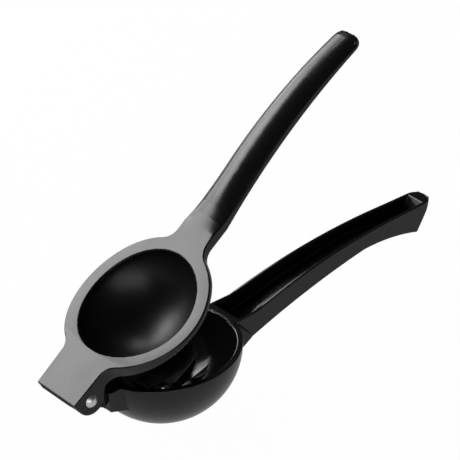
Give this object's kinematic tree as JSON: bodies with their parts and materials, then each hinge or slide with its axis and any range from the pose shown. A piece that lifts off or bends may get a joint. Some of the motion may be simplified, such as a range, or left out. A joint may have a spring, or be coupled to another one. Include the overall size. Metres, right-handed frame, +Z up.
{
  "type": "hinged lemon squeezer",
  "caption": "Hinged hand press for lemons: a domed press lever closes into a bowl lever with drain holes, on one riveted hinge.",
  "frame": {"origin": "centre of the bowl's flat foot, on the bowl's axis", "axes": "+X from the hinge towards the handle ends, +Y across the levers, +Z up along the bowl's axis; the press lever stands 30 degrees open"},
  "size_m": [0.2118, 0.072, 0.1436],
  "materials": {
    "press_enamel": "glossy black enamel over cast aluminium",
    "bowl_enamel": "glossy black enamel over cast aluminium",
    "rivet_metal": "polished"
  },
  "bodies": {
    "bowl_lever": {"bowl_lever": "bowl_enamel"},
    "press_lever": {"press_lever": "press_enamel", "hinge_rivet": "rivet_metal"}
  },
  "joints": [
    {"name": "press_hinge", "type": "hinge", "parent": "bowl_lever", "child": "press_lever", "pos_m": [-0.0485, 0, 0.034], "axis": [0, -1, 0], "range_deg": [-30, 100]}
  ]
}
